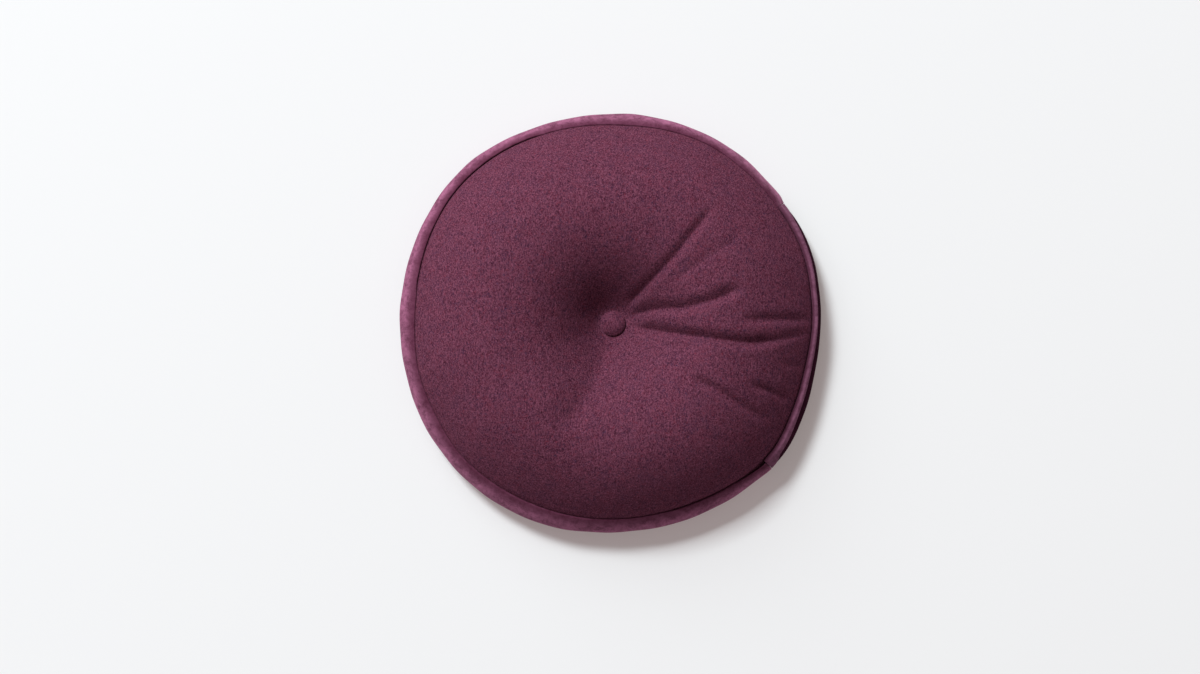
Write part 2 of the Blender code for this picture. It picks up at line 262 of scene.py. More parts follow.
@dataclass(frozen=True)
class PillowShape:
    """The pillow's own surfaces, each a function of an angle and one more parameter.

    Places on the side run from 0 at the top seam to 1 at the lower seam. The joints are the
    angles where the placket meets the side band's ends, low at the lower right and high at the
    upper right. The widths of the lips and dips beside them are in degrees.
    """

    top_seam: float = 0.044
    lower_seam: float = 0.004
    seam_wave: float = 0.0012
    wave_phase: float = 0.6
    wave_turn: float = 0.4
    placket_sag: float = 0.005
    sag_middle: float = -4.0
    sag_full: float = 24.0
    sag_fade: float = 28.0
    rim_power: float = 6.0
    crown_rise: float = 0.067
    crown_power: float = 4.4
    bulge_skew: float = 1.25
    bulge_power: float = 0.6
    button_x: float = 0.0019
    button_y: float = -0.0014
    dimple_depth: float = 0.063
    dimple_power: float = 1.35
    seat_radius: float = 0.0125
    back_seat: float = 0.0165
    back_dimple: float = 0.050
    back_flat: float = 0.156
    back_power: float = 2.2
    mean_seam: float = 0.1894
    joint_low: float = -42.2
    joint_high: float = 34.4
    joint_gap: float = 0.025
    lip_low: float = 0.0009
    lip_high: float = 0.0007
    lip_width: float = 3.5
    dip_low: float = 0.0008
    dip_high: float = 0.0016
    dip_width_low: float = 1.4
    dip_width_high: float = 3.6
    steep_share: float = 0.66
    crease_rounding: float = 0.15
    crease_end_mm: float = 22.0

    def outline(self, angle: Array) -> Array:
        """Radius of the widest line."""
        return around(RIM, "outline", angle) * MM

    def seam(self, angle: Array) -> Array:
        """Radius of both seams."""
        return around(RIM, "seam", angle) * MM

    def seam_height(self, angle: Array) -> Array:
        """Height of the top seam, which waves a little and sags over the placket.

        Args:
            angle: where the height is read.

        Returns:
            The height at each angle.
        """
        turn = np.radians(angle)
        wave = self.seam_wave * np.sin(2.0 * turn + self.wave_phase) * np.cos(turn - self.wave_turn)
        away = np.abs(folded(angle - self.sag_middle))
        return self.top_seam + wave - self.placket_sag * (1.0 - ease((away - self.sag_full) / self.sag_fade))

    def past_joints(self, angle: Array) -> tuple[Array, Array]:
        """Angles past each end of the band, positive on the placket's side."""
        turned = folded(angle)
        return turned - self.joint_low, self.joint_high - turned

    def side_curve(self, angle: Array, t: Array) -> tuple[Array, Array]:
        """Upright section of the side: the radius swells from seam to seam by a power of a
        half sine, widest below the middle, while the height falls evenly.

        Args:
            angle: direction of the section.
            t: 0 at the top seam and 1 at the lower seam.

        Returns:
            Radius and height.
        """
        bulge = np.sin(np.pi * np.clip(t, 0.0, 1.0) ** self.bulge_skew) ** self.bulge_power
        seam, top = self.seam(angle), self.seam_height(angle)
        radius = seam + (self.outline(angle) - seam) * bulge
        return radius, top + (self.lower_seam - top) * t

    def side_normal(self, angle: Array, t: Array) -> tuple[Array, Array]:
        """Normal of the side in its upright section.

        Args:
            angle: direction of the section.
            t: 0 at the top seam and 1 at the lower seam.

        Returns:
            The normal's outward and upward parts.
        """
        step = 0.01
        margin = 1.3 * step
        middle = np.clip(t, margin, 1.0 - margin)
        r_up, z_up = self.side_curve(angle, middle - step)
        r_down, z_down = self.side_curve(angle, middle + step)
        length = np.hypot(r_down - r_up, z_down - z_up)
        return (z_up - z_down) / length, (r_down - r_up) / length

    def inside_seams(self, t: Array) -> Array:
        """0 at both seams and 1 on the side between them."""
        margin = 0.12
        return ease(t / margin) * ease((1.0 - t) / margin)

    def placket_dip(self, angle: Array, t: Array) -> Array:
        """How far the side draws in where the placket meets the band's ends.

        Args:
            angle: direction of each point.
            t: 0 at the top seam and 1 at the lower seam.

        Returns:
            The depth at each point.
        """
        low, high = self.past_joints(angle)
        near = self.dip_low * np.exp(-((low / self.dip_width_low) ** 2))
        near = near + self.dip_high * np.exp(-((high / self.dip_width_high) ** 2))
        return np.where((low > 0.0) & (high > 0.0), near, 0.0) * self.inside_seams(t)

    def band_lip(self, angle: Array, t: Array) -> Array:
        """How far the band's ends stand out beside the placket.

        Args:
            angle: direction of each point.
            t: 0 at the top seam and 1 at the lower seam.

        Returns:
            The height at each point.
        """
        low, high = self.past_joints(angle)
        rise = self.lip_low * np.exp(-((low / self.lip_width) ** 2))
        rise = rise + self.lip_high * np.exp(-((high / self.lip_width) ** 2))
        return rise * self.inside_seams(t)

    def side(self, angle: Array, t: Array, offset: Array) -> Array:
        """Points at a distance out from the side, along its normal.

        Args:
            angle: direction of each point.
            t: 0 at the top seam and 1 at the lower seam.
            offset: distance out from the side.

        Returns:
            The points.
        """
        radius, height = self.side_curve(angle, t)
        out, up = self.side_normal(angle, t)
        offset = offset - self.placket_dip(angle, t)
        return polar(angle, radius + out * offset, height + up * offset)

    def crease_section(self, across: Array, width: float) -> Array:
        """Section of a crease: steepest beside its line and levelling off by a square, on a
        wide gentle side and a narrow steep side.

        Args:
            across: distance from the line in millimetres, positive anticlockwise.
            width: width of the gentle side in millimetres, negative where it is clockwise.

        Returns:
            The share of the crease's depth, 1 at the line.
        """
        gentle = across * math.copysign(1.0, width) > 0.0
        rounding = self.crease_rounding * abs(width)
        width = np.where(gentle, 1.0, self.steep_share) * abs(width)
        away = np.hypot(across, rounding) - rounding
        return np.clip(1.0 - away / width, 0.0, 1.0) ** 2

    def creases(self, radius: Array, angle: Array) -> Array:
        """Depth of all the creases: each runs along its path and fades at both ends.

        Args:
            radius: distance of each point from the middle.
            angle: direction of each point.

        Returns:
            The depth at each point.
        """
        total = np.zeros_like(radius)
        radius = radius / MM
        end = self.crease_end_mm
        for crease in CREASES:
            radii = [point[0] for point in crease.path]
            angles = [point[1] for point in crease.path]
            across = radius * np.radians(folded(angle) - np.interp(radius, radii, angles))
            shown = ease((radius - radii[0] + 0.5 * end) / end)
            shown = shown * ease((radii[-1] + 0.5 * end - radius) / end)
            total = total + crease.depth * shown * self.crease_section(across, crease.width)
        return total * MM

    def face(self, angle: Array, share: Array) -> Array:
        """Front face: a crown that falls by a power of the share, less a dimple that decays
        from the button's edge, less the creases.

        Args:
            angle: direction from the middle.
            share: 0 in the middle and 1 at the seam.

        Returns:
            Points of the face.
        """
        radius = share * self.seam(angle)
        drift = (1.0 - share) ** 2
        height = self.top_seam + (self.seam_height(angle) - self.top_seam) * share ** self.rim_power
        points = polar(angle, radius, height)
        points[..., 0] += self.button_x * drift
        points[..., 1] += self.button_y * drift
        away = np.hypot(points[..., 0] - self.button_x, points[..., 1] - self.button_y)
        past_seat = np.maximum(away - self.seat_radius, 0.0) / (around(DIMPLE, "reach", angle) * MM)
        dimple = np.exp(-past_seat ** self.dimple_power)
        points[..., 2] += self.crown_rise * (1.0 - share ** self.crown_power)
        points[..., 2] -= self.dimple_depth * dimple + self.creases(radius, angle)
        return points

    def back_height(self, radius: Array) -> Array:
        """Height of the back: a smooth step down from the button's seat, flat on the floor,
        then a power of the distance up to the lower seam.

        Args:
            radius: distance of each point from the middle.

        Returns:
            The height at each point.
        """
        past_flat = (radius - self.back_flat) / (self.mean_seam - self.back_flat)
        past_seat = (radius - self.seat_radius) / (self.back_dimple - self.seat_radius)
        rim = self.lower_seam * np.maximum(past_flat, 0.0) ** self.back_power
        return rim + self.back_seat * (1.0 - ease(past_seat))

    def back(self, angle: Array, radius: Array, lift: Array) -> Array:
        """Points over the back's outer face, drawn out to fit the seam's own radius.

        Args:
            angle: direction of each point.
            radius: distance of each point from the middle of a back of even radius.
            lift: height over the outer face, along its normal.

        Returns:
            The points.
        """
        step = 0.5 * MM
        share = self.seam(angle) / self.mean_seam
        rise = self.back_height(radius + step) - self.back_height(radius - step)
        slope = rise / (2.0 * step * share)
        length = np.sqrt(1.0 + slope * slope)
        height = self.back_height(radius) + lift / length
        return polar(angle, radius * share - lift * slope / length, height)

    @property
    def seat(self) -> Vector:
        """Middle of the front button's seat."""
        return Vector((self.button_x, self.button_y, self.top_seam + self.crown_rise - self.dimple_depth))


class Value:
    """A shader number: arithmetic on it adds Math nodes."""

    def __init__(self, tree: "ClothTree", socket: Any) -> None:
        """Wrap an output socket of a tree."""
        self.tree = tree
        self.socket = socket

    def math(self, operation: str, *others: "Number") -> "Value":
        """Math node on this value and up to two more."""
        inputs = {index: value for index, value in enumerate((self, *others))}
        return self.tree.add("ShaderNodeMath", {"operation": operation}, inputs)

    def __add__(self, other: "Number") -> "Value":
        """Sum."""
        return self.math("ADD", other)

    __radd__ = __add__

    def __mul__(self, other: "Number") -> "Value":
        """Product."""
        return self.math("MULTIPLY", other)

    __rmul__ = __mul__

    def __sub__(self, other: "Number") -> "Value":
        """Difference."""
        return self.math("SUBTRACT", other)

    def __rsub__(self, other: "Number") -> "Value":
        """Difference from a plain number."""
        return self.math("MULTIPLY", -1.0) + other

    def __abs__(self) -> "Value":
        """Size without sign."""
        return self.math("ABSOLUTE")

    def between(self, low: float, high: float) -> "Value":
        """Smooth step.

        Args:
            low: where it starts from 0.
            high: where it reaches 1.

        Returns:
            The step, from 0 to 1.
        """
        settings = {"interpolation_type": "SMOOTHSTEP"}
        inputs = {"Value": self, "From Min": low, "From Max": high}
        return self.tree.add("ShaderNodeMapRange", settings, inputs)


Number = Union[Value, float]
Color = tuple[float, float, float]


class ClothTree:
    """Node tree of one material, on the piece's Object coordinates."""

    def __init__(self, name: str) -> None:
        """Make a material with its shader, its output and the piece's coordinates.

        Args:
            name: the material's name.
        """
        self.material = bpy.data.materials.new(name)
        self.material.use_nodes = True
        self.nodes = self.material.node_tree.nodes
        self.links = self.material.node_tree.links
        self.shader = self.nodes["Principled BSDF"]
        self.place = self.add("ShaderNodeTexCoord", output="Object")

    def put(self, socket: Any, value: Any) -> None:
        """Link a value to an input socket, or set a plain one there.

        Args:
            socket: the input socket.
            value: a value to link, or a number, colour or vector to set.
        """
        if isinstance(value, Value):
            self.links.new(value.socket, socket)
        elif isinstance(value, tuple) and socket.type == "RGBA":
            socket.default_value = (*value, 1.0)
        else:
            socket.default_value = value

    def add(self, kind: str, settings: dict | None = None, inputs: dict | None = None,
            output: Union[str, int] = 0) -> Value:
        """Add a node.

        Args:
            kind: the node's type.
            settings: its properties, set before its sockets.
            inputs: socket name or index to a value, number, colour or vector.
            output: name or index of the socket that is returned.

        Returns:
            The node's output.
        """
        node = self.nodes.new(kind)
        for key, value in (settings or {}).items():
            setattr(node, key, value)
        for key, value in (inputs or {}).items():
            self.put(node.inputs[key], value)
        return Value(self, node.outputs[output])

    def noise(self, place: Value, size: float, detail: float = 2.0, roughness: float = 0.5) -> Value:
        """Noise from 0 to 1 whose features are about one size."""
        inputs = {"Vector": place, "Scale": 1.0 / size, "Detail": detail, "Roughness": roughness}
        return self.add("ShaderNodeTexNoise", {}, inputs, "Fac")

    def drifted(self, place: Value, size: float, shift: float) -> Value:
        """A place shifted about by a noise in three directions.

        Args:
            place: the coordinates.
            size: the noise's size.
            shift: how far it shifts them.

        Returns:
            The shifted coordinates.
        """
        inputs = {"Vector": place, "Scale": 1.0 / size, "Detail": 1.0}
        cloud = self.add("ShaderNodeTexNoise", {}, inputs, "Color")
        centred = self.vector("SUBTRACT", cloud, (0.5, 0.5, 0.5))
        return self.vector("ADD", place, self.vector("MULTIPLY", centred, (shift, shift, shift)))

    def vector(self, operation: str, first: Any, second: Any) -> Value:
        """Vector Math node."""
        return self.add("ShaderNodeVectorMath", {"operation": operation}, {0: first, 1: second})

    def turned(self, place: Value, turn: float, stretch: tuple[float, float, float]) -> Value:
        """A place turned about the upright axis, then stretched along its own axes.

        Args:
            place: the coordinates.
            turn: degrees that they are turned by.
            stretch: factor along each axis.

        Returns:
            The turned coordinates.
        """
        settings = {"vector_type": "POINT"}
        inputs = {"Vector": place, "Rotation": (0.0, 0.0, math.radians(turn)), "Scale": stretch}
        return self.add("ShaderNodeMapping", settings, inputs)

    def mix(self, factor: Number, first: Any, second: Any) -> Value:
        """Mix of two colours.

        Args:
            factor: 0 for the first colour and 1 for the second.
            first: the first colour.
            second: the second colour.

        Returns:
            The mixed colour.
        """
        node = self.nodes.new("ShaderNodeMix")
        node.data_type = "RGBA"
        self.put(node.inputs[0], factor)
        self.put(node.inputs[6], first)
        self.put(node.inputs[7], second)
        return Value(self, node.outputs[2])

    def bump(self, height: Value, distance: float, strength: float, under: Value | None = None) -> Value:
        """Bump node.

        Args:
            height: the relief, from 0 to 1.
            distance: how high a relief of 1 stands.
            strength: how strongly it shows.
            under: the bump that it lies over, if there is one.

        Returns:
            The normal.
        """
        inputs: dict = {"Height": height, "Distance": distance, "Strength": strength}
        if under is not None:
            inputs["Normal"] = under
        return self.add("ShaderNodeBump", {}, inputs)

    def dress(self, **inputs: Any) -> bpy.types.Material:
        """Set the shader's sockets.

        Args:
            inputs: value of each socket, whose name has underscores for spaces.

        Returns:
            The material.
        """
        for key, value in inputs.items():
            self.put(self.shader.inputs[key.replace("_", " ")], value)
        return self.material


@dataclass(frozen=True)
class WoolFelt:
    """Heathered wool felt: a plum ground, fine pale and dark fibres, and a short soft fuzz."""

    name: str = "wool_felt"
    ground: Color = (0.094, 0.0215, 0.043)
    shade: Color = (0.034, 0.007, 0.016)
    light: Color = (0.230, 0.072, 0.120)
    red: Color = (0.175, 0.026, 0.046)
    blue: Color = (0.039, 0.023, 0.056)
    cloud_size: float = 0.013
    patch_size: float = 0.0032
    grain_size: float = 0.0013
    fibre_size: float = 0.0016
    fibre_turns: tuple[float, ...] = (8.0, 67.0, 128.0)
    dark_turn: float = 31.0
    drift_size: float = 0.006
    drift_shift: float = 0.0016
    speck_share: float = 0.8
    red_share: float = 0.18
    blue_share: float = 0.20
    dark_share: float = 0.40
    pale_share: float = 0.42
    fuzz_height: float = 0.0011
    fuzz_strength: float = 0.6
    sheen: Color = (0.62, 0.36, 0.50)
    sheen_weight: float = 0.015

    def fibres(self, tree: ClothTree, place: Value, turn: float, size: float) -> Value:
        """Thin crooked lines along one direction: the crests of a noise that is stretched."""
        line = tree.noise(tree.turned(place, turn, (1.0, 0.22, 0.6)), size, 1.0)
        return (1.0 - abs(line * 2.0 - 1.0)).between(0.90, 0.985)

    def material(self) -> bpy.types.Material:
        """Build the felt's material.

        Returns:
            The material.
        """
        tree = ClothTree(self.name)
        place = tree.drifted(tree.place, self.drift_size, self.drift_shift)
        patch = tree.noise(place, self.patch_size, 4.0, 0.7)
        grain = tree.noise(place, self.grain_size, 2.0, 0.6)
        speck = tree.noise(tree.place, self.grain_size * 1.7, 1.0)
        color = tree.mix(patch.between(0.30, 0.60), self.shade, self.ground)
        color = tree.mix(grain.between(0.46, 0.66), color, self.light)
        color = tree.mix(speck.between(0.38, 0.26) * self.speck_share, color, self.blue)
        color = tree.mix(speck.between(0.62, 0.74) * self.speck_share, color, self.red)
        cloud = tree.noise(place, self.cloud_size, 3.0, 0.6)
        color = tree.mix(cloud.between(0.50, 0.68) * self.red_share, color, self.red)
        color = tree.mix(cloud.between(0.48, 0.32) * self.blue_share, color, self.blue)
        relief = patch * 0.3 + grain * 0.7
        for index, turn in enumerate(self.fibre_turns):
            pale = self.fibres(tree, place, turn, self.fibre_size)
            dark = self.fibres(tree, place, turn + self.dark_turn, self.fibre_size * 0.8)
            color = tree.mix(dark * self.dark_share, color, self.blue if index == 0 else self.shade)
            color = tree.mix(pale * self.pale_share, color, self.light)
            relief = relief + pale * 0.35
        fuzz = tree.bump(relief, self.fuzz_height, self.fuzz_strength)
        return tree.dress(Base_Color=color, Roughness=0.92, Specular_IOR_Level=0.0,
                          Sheen_Weight=self.sheen_weight, Sheen_Roughness=0.55,
                          Sheen_Tint=self.sheen, Normal=fuzz)


@dataclass(frozen=True)
class Velvet:
    """Velvet: a dense pile whose nap lies in soft patches, dark face on and pale edge on."""

    name: str = "velvet"
    deep: Color = (0.112, 0.032, 0.062)
    pale: Color = (0.355, 0.124, 0.222)
    # Painted shade: a darker colour mixed in towards the seams.
    painted_seam_shade: Color = (0.058, 0.011, 0.025)
    sheen: Color = (0.86, 0.46, 0.62)
    sheen_weight: float = 0.30
    sheen_spread: float = 0.38
    nap_size: float = 0.012
    streak_size: float = 0.0030
    pile_size: float = 0.0011
    drift_size: float = 0.020
    drift_shift: float = 0.008
    pile_share: float = 0.35
    painted_seam_shade_share: float = 0.75
    nap_height: float = 0.0022
    pile_height: float = 0.0004
    bump_strength: float = 0.5

    def material(self) -> bpy.types.Material:
        """Build the velvet's material.

        Returns:
            The material.
        """
        tree = ClothTree(self.name)
        place = tree.drifted(tree.place, self.drift_size, self.drift_shift)
        nap = tree.noise(place, self.nap_size, 3.0, 0.6)
        upright = tree.turned(place, 0.0, (1.0, 1.0, 0.35))
        streak = tree.noise(upright, self.streak_size, 3.0, 0.65)
        pile = tree.noise(tree.place, self.pile_size, 1.0)
        lay = (nap * 0.55 + streak * 0.45).between(0.32, 0.68)
        color = tree.mix(lay, self.deep, self.pale)
        color = tree.mix(pile.between(0.35, 0.75) * self.pile_share, color, self.pale)
        # Painted shade: the colour is darkened towards the seams, standing in for the velvet's dark face-on
        # look there.
        free = tree.add("ShaderNodeAttribute", {"attribute_name": SEAM_SHADE_ATTRIBUTE}, output="Fac")
        color = tree.mix((1.0 - free) * self.painted_seam_shade_share, color, self.painted_seam_shade)
        soft = tree.bump(nap * 0.7 + streak * 0.3, self.nap_height, self.bump_strength)
        fine = tree.bump(pile, self.pile_height, self.bump_strength, soft)
        return tree.dress(Base_Color=color, Roughness=0.85, Specular_IOR_Level=0.0,
                          Sheen_Weight=self.sheen_weight, Sheen_Roughness=self.sheen_spread,
                          Sheen_Tint=self.sheen, Normal=fine)


@dataclass(frozen=True)
class ButtonFeltPaintedLight(WoolFelt):
    """The same felt painted a little paler for the buttons: painted light."""

    name: str = "button_felt_painted_light"
    # Painted light: a paler ground than the felt's own.
    ground: Color = (0.115, 0.027, 0.053)


@dataclass(frozen=True)
class VelvetPaintedShadow(Velvet):
    """The velvet painted nearly black below the flap: painted shadow of the flap on the lower strip."""

    name: str = "velvet_painted_shadow"
    # Painted shadow: nearly black colours.
    deep: Color = (0.020, 0.004, 0.010)
    pale: Color = (0.044, 0.009, 0.022)
    painted_seam_shade: Color = (0.012, 0.002, 0.006)
    sheen_weight: float = 0.04


@dataclass(frozen=True)
class VelvetFlapPaintedShade(Velvet):
    """The velvet painted darker, greyer and more even for the flap: painted shade."""

    name: str = "velvet_flap_painted_shade"
    # Painted shade: darker, greyer colours than the velvet's own.
    deep: Color = (0.110, 0.038, 0.068)
    pale: Color = (0.235, 0.093, 0.158)
    painted_seam_shade: Color = (0.070, 0.018, 0.036)
    sheen_weight: float = 0.16


class Closed(Enum):
    """Which ways a grid of points runs round and meets itself."""

    COLUMNS = "columns"
    ROWS = "rows"


@dataclass
class Piece:
    """What the pieces of the pillow share: making a mesh from a grid and attaching it to the pillow."""

    shape: PillowShape

    def object_from(self, name: str, points: Array, faces: Array, material: bpy.types.Material
                    ) -> bpy.types.Object:
        """Smooth object from points and faces.

        Args:
            name: the object's and its mesh's name.
            points: one row for each vertex.
            faces: one row of vertex numbers for each quad.
            material: its only material.

        Returns:
            The linked object, at the origin.
        """
        mesh = bpy.data.meshes.new(name)
        mesh.from_pydata(points.reshape(-1, 3), [], faces.tolist())
        mesh.materials.append(material)
        mesh.shade_smooth()
        piece = bpy.data.objects.new(name, mesh)
        bpy.context.scene.collection.objects.link(piece)
        return piece

    def grid_faces(self, rows: int, columns: int, closed: Closed) -> Array:
        """Quads of a grid whose points run column by column within each row.

        Args:
            rows: how many rows the grid has.
            columns: how many points a row has.
            closed: which way the grid meets itself.

        Returns:
            One row of four vertex numbers for each quad.
        """
        last_row = rows if closed is Closed.ROWS else rows - 1
        last_column = columns if closed is Closed.COLUMNS else columns - 1
        row = np.arange(last_row)[:, None]
        column = np.arange(last_column)[None]
        here, below = row * columns, (row + 1) % rows * columns
        right = (column + 1) % columns
        corners = (here + column, below + column, below + right, here + right)
        return np.stack(np.broadcast_arrays(*corners), axis=-1).reshape(-1, 4)

    def finish(self, piece: bpy.types.Object, slot: str, *nodes: str) -> None:
        """Make the piece ride on the pillow and stand for its nodes.

        Args:
            piece: the piece.
            slot: its material slot; not used.
            nodes: the solids that it stands for.
        """
        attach(piece, "root")
        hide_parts(*nodes)
        log.info("%s: %d faces", piece.name, len(piece.data.polygons))

    def weld(self, piece: bpy.types.Object) -> None:
        """Merge the points that meet and turn all faces outwards.

        Args:
            piece: the piece.
        """
        grid = bmesh.new()
        grid.from_mesh(piece.data)
        bmesh.ops.remove_doubles(grid, verts=grid.verts, dist=1e-6)
        bmesh.ops.recalc_face_normals(grid, faces=grid.faces)
        grid.to_mesh(piece.data)
        grid.free()
        piece.data.shade_smooth()


@dataclass
class FeltCushion(Piece):
    """The front felt panel over its filling, one closed body down to the back panel."""

    columns: int = 600
    inner_step: float = 0.0018
    edge_step: float = 0.0004
    edge_from: float = 0.012
    roll_radius: float = 0.0024
    groove_depth: float = 0.0026
    ridge_height: float = 0.0006
    pucker_height: float = 0.0005
    pucker_waves: tuple[int, ...] = (61, 83, 97, 118)
    pucker_start: float = 0.002
    pucker_reach: float = 0.005
    ridge_waves: tuple[int, ...] = (17, 29, 41)
    ridge_place: float = 0.0042
    ridge_width: float = 0.0016
    lump_height: float = 0.0009
    lump_waves: tuple[int, ...] = (3, 5, 7)
    inset: float = 0.0030
    side_rings: tuple[float, ...] = (0.05, 0.15, 0.3, 0.5, 0.7, 0.88, 0.95)
    back_rings: tuple[float, ...] = (0.176, 0.156, 0.050, 0.026, 0.0125, 0.0)
    fill: float = 0.8

    def shares(self) -> Array:
        """Shares of the radius where the face's rings lie, closer together near the seam.

        Returns:
            The shares, from 0 in the middle to nearly 1 at the seam.
        """
        seam = self.shape.mean_seam
        middle = np.arange(0.0, seam - self.edge_from, self.inner_step)
        edge = np.arange(seam - self.edge_from, seam - self.edge_step, self.edge_step)
        return np.concatenate((middle, edge)) / seam

    def relief(self, angle: Array, share: Array) -> Array:
        """Small forms of the cloth: puckers at the seam, a ridge inside it, the roll of the
        felt's edge down into the seam, and soft lumps of the filling.

        Args:
            angle: direction from the middle.
            share: 0 in the middle and 1 at the seam.

        Returns:
            The height at each point.
        """
        inside = (1.0 - share) * self.shape.mean_seam
        pucker = ripple(angle, self.pucker_waves, 4) * np.exp(-inside / self.pucker_reach)
        pucker = pucker * ease(inside / self.pucker_start)
        pucker = pucker * (0.45 + 0.55 * sectors(RAISED_SEAM, angle, 12.0))
        from_ridge = (inside - self.ridge_place) / self.ridge_width
        ridge = np.exp(-(from_ridge ** 2)) * sectors(RAISED_SEAM, angle, 10.0)
        ridge = ridge * (0.75 + 0.25 * ripple(angle, self.ridge_waves, 9))
        depth = self.groove_depth * (0.7 + 0.5 * sectors(DEEP_SEAM, angle, DEEP_FADE))
        over = np.clip(1.0 - inside / self.roll_radius, 0.0, 1.0)
        roll = depth * (1.0 - np.sqrt(1.0 - np.minimum(over, 0.999) ** 2))
        wander = 9.0 * share + 2.0 * ripple(angle, (2, 3), 6)
        lumps = ripple(angle, self.lump_waves, 2) + 0.6 * np.cos(wander)
        lumps = lumps * np.sin(np.pi * share) ** 2
        raised = self.pucker_height * pucker + self.ridge_height * ridge
        return raised + self.lump_height * lumps - roll

    def build(self, material: bpy.types.Material) -> bpy.types.Object:
        """Args:
            material: its felt.

        Returns:
            The cushion.
        """
        angle = np.linspace(0.0, 360.0, self.columns, endpoint=False)[None]
        share = self.shares()[:, None]
        face = self.shape.face(angle, share)
        face[..., 2] += self.relief(angle, share)
        rings = [face]
        for t in self.side_rings:
            rings.append(self.shape.side(angle, np.full_like(angle, t), -self.inset))
        for radius in self.back_rings:
            rings.append(self.shape.back(angle, np.full_like(angle, radius), self.inset))
        points = np.concatenate(rings, axis=0)
        faces = self.grid_faces(points.shape[0], self.columns, Closed.COLUMNS)
        piece = self.object_from("felt_cushion", points, faces, material)
        self.weld(piece)
        self.finish(piece, "wool_felt", "front_panel")
        return piece


@dataclass
class ClothSheet(Piece):
    """A sheet of cloth with rounded edges, as a grid of sections that run round it."""

    thickness: float = 0.0020
    edge_points: int = 4

    def section(self, along: Array) -> tuple[Array, Array, Array]:
        """Points once round the sheet's section, from its outer face.

        Args:
            along: rising places from 0 to 1 across the sheet.

        Returns:
            Each point's place across the sheet, its offset from the outer face and its reach
            past the nearer edge, the last two in thicknesses, with half a circle at each edge.
        """
        turn = np.linspace(0.0, np.pi, self.edge_points + 2)[1:-1]
        flat, edge = np.zeros_like(along), 0.5 * np.sin(turn)
        inward = 0.5 - 0.5 * np.cos(turn)
        places = np.concatenate((along, 0.0 * turn + 1.0, along[::-1], 0.0 * turn))
        offsets = np.concatenate((flat, -inward, flat - 1.0, inward - 1.0))
        return places, offsets, np.concatenate((flat, edge, flat, -edge))

    def cap(self, points: Array, faces: Array) -> Array:
        """Close both ends of a strip by quads across its section, whose points pair up on
        either side of the cloth.

        Args:
            points: the strip's points, one row for each place round its section.
            faces: its quads so far.

        Returns:
            All its quads.
        """
        rows, columns = points.shape[0], points.shape[1]
        last = rows - self.edge_points - 1
        row = np.arange(-self.edge_points // 2, (last - 1) // 2)
        across = (row, row + 1, last - row - 1, last - row)
        ends = []
        for column in (0, columns - 1):
            corners = [corner % rows * columns + column for corner in across]
            ends.append(np.stack(corners, axis=-1))
        return np.concatenate((faces, *ends))


